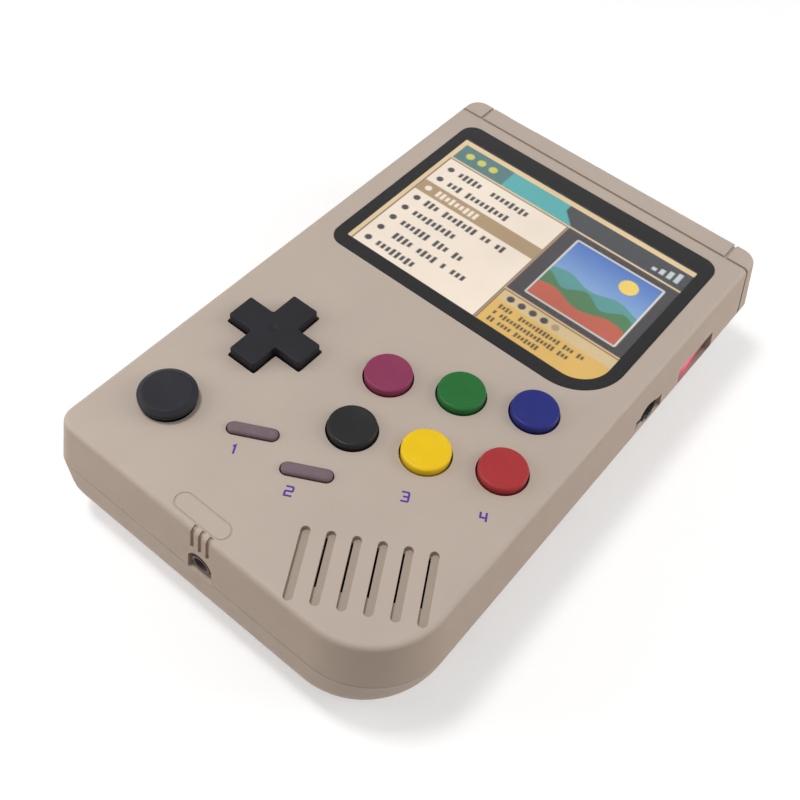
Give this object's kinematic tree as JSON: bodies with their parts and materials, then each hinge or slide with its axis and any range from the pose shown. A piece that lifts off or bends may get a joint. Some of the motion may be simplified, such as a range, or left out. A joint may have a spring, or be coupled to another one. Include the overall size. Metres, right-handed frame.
{
  "type": "handheld game console",
  "caption": "Brick-shaped handheld game console with a black-bordered colour screen, cross pad, sliding stick, coloured round buttons, tilted pill buttons and slanted speaker slots",
  "frame": {"origin": "under the middle of the body, on the plane of the flat back", "axes": "+Z out of the screen, +Y to the top end of the face, +X to the right of the face; the console lies on its back"},
  "size_m": [0.09, 0.145, 0.035],
  "materials": {
    "shell": "fine satin moulding",
    "screw": "satin",
    "lens": "clear gloss",
    "border": "black print",
    "display": "lit panel",
    "tray": "stamped",
    "foam": "matte",
    "flex": "satin film",
    "white_plastic": "satin",
    "board": "solder mask",
    "chip": "matte",
    "membrane": "matte",
    "black_plastic": "satin",
    "stick_black": "satin",
    "pad_black": "satin",
    "pill_rubber": "matte",
    "cone": "pulp",
    "magnet": "satin",
    "red_light": "clear red, lit",
    "knob_grey": "satin",
    "battery": "wrapped film",
    "computer_green": "solder mask",
    "brass": "turned",
    "heat_sink": "anodised",
    "button_purple": "satin gloss",
    "button_green": "satin gloss",
    "button_blue": "satin gloss",
    "button_black": "satin gloss",
    "button_yellow": "satin gloss",
    "button_red": "satin gloss"
  },
  "bodies": {
    "body": {"front_shell": "shell", "rear_shell": "shell", "shell_screws": "screw", "screen_lens": "lens", "lens_border": "border", "display_panel": "display", "display_frame": "tray", "display_pads": "foam", "display_ribbon": "flex", "display_connector": "white_plastic", "control_board": "board", "board_screws": "screw", "board_chips": "chip", "button_membrane": "membrane", "pill_membrane": "membrane", "cross_membrane": "membrane", "stick_housing": "black_plastic", "stick_cover": "tray", "speaker_frame": "tray", "speaker_cone": "cone", "speaker_magnet": "magnet", "speaker_gasket": "foam", "headphone_socket": "black_plastic", "volume_pot": "magnet", "light_block": "red_light", "charge_socket": "tray", "charge_tongue": "black_plastic", "switch_case": "tray", "battery_pack": "battery", "computer_board": "computer_green", "pin_header": "black_plastic", "computer_spacers": "brass", "computer_screws": "screw", "computer_chips": "chip", "heat_sink": "heat_sink", "memory_card": "black_plastic"},
    "purple_button": {"purple_button": "button_purple"},
    "green_button": {"green_button": "button_green"},
    "blue_button": {"blue_button": "button_blue"},
    "black_button": {"black_button": "button_black"},
    "yellow_button": {"yellow_button": "button_yellow"},
    "red_button": {"red_button": "button_red"},
    "select_button": {"select_button": "pill_rubber"},
    "start_button": {"start_button": "pill_rubber"},
    "cross_pivot": {"cross_pivot": "white_plastic"},
    "cross_pad": {"cross_pad": "pad_black"},
    "stick_carriage": {"stick_carriage": "white_plastic"},
    "stick_cap": {"stick_cap": "stick_black"},
    "volume_wheel": {"volume_wheel": "stick_black"},
    "switch_knob": {"switch_knob": "knob_grey"},
    "battery_door": {"battery_door": "shell"}
  },
  "joints": [
    {"name": "purple_press", "type": "slide", "parent": "body", "child": "purple_button", "axis": [0, 0, 1], "range_m": [-0.0012, 0], "stiffness_N_per_m": 300, "springref_m": 0.001},
    {"name": "green_press", "type": "slide", "parent": "body", "child": "green_button", "axis": [0, 0, 1], "range_m": [-0.0012, 0], "stiffness_N_per_m": 300, "springref_m": 0.001},
    {"name": "blue_press", "type": "slide", "parent": "body", "child": "blue_button", "axis": [0, 0, 1], "range_m": [-0.0012, 0], "stiffness_N_per_m": 300, "springref_m": 0.001},
    {"name": "black_press", "type": "slide", "parent": "body", "child": "black_button", "axis": [0, 0, 1], "range_m": [-0.0012, 0], "stiffness_N_per_m": 300, "springref_m": 0.001},
    {"name": "yellow_press", "type": "slide", "parent": "body", "child": "yellow_button", "axis": [0, 0, 1], "range_m": [-0.0012, 0], "stiffness_N_per_m": 300, "springref_m": 0.001},
    {"name": "red_press", "type": "slide", "parent": "body", "child": "red_button", "axis": [0, 0, 1], "range_m": [-0.0012, 0], "stiffness_N_per_m": 300, "springref_m": 0.001},
    {"name": "select_press", "type": "slide", "parent": "body", "child": "select_button", "axis": [0, 0, 1], "range_m": [-0.0012, 0], "stiffness_N_per_m": 250, "springref_m": 0.001},
    {"name": "start_press", "type": "slide", "parent": "body", "child": "start_button", "axis": [0, 0, 1], "range_m": [-0.0012, 0], "stiffness_N_per_m": 250, "springref_m": 0.001},
    {"name": "cross_rock_up_down", "type": "hinge", "parent": "body", "child": "cross_pivot", "pos_m": [-0.02535, -0.0261, 0.02755], "axis": [1, 0, 0], "range_deg": [-3.5, 3.5], "stiffness_Nm_per_rad": 0.15},
    {"name": "cross_rock_left_right", "type": "hinge", "parent": "cross_pivot", "child": "cross_pad", "pos_m": [-0.02535, -0.0261, 0.02755], "axis": [0, 1, 0], "range_deg": [-3.5, 3.5], "stiffness_Nm_per_rad": 0.15},
    {"name": "stick_slide_x", "type": "slide", "parent": "body", "child": "stick_carriage", "axis": [1, 0, 0], "range_m": [-0.002, 0.002], "stiffness_N_per_m": 200},
    {"name": "stick_slide_y", "type": "slide", "parent": "stick_carriage", "child": "stick_cap", "axis": [0, 1, 0], "range_m": [-0.002, 0.002], "stiffness_N_per_m": 200},
    {"name": "volume_turn", "type": "hinge", "parent": "body", "child": "volume_wheel", "pos_m": [0.0374, 0.0212, 0.0206], "axis": [0, 0, 1], "range_deg": [-140, 140]},
    {"name": "power_slide", "type": "slide", "parent": "body", "child": "switch_knob", "axis": [1, 0, 0], "range_m": [-0.003, 0]},
    {"name": "battery_door_open", "type": "hinge", "parent": "body", "child": "battery_door", "pos_m": [0, -0.01015, 0.00115], "axis": [1, 0, 0], "range_deg": [0, 70]}
  ]
}
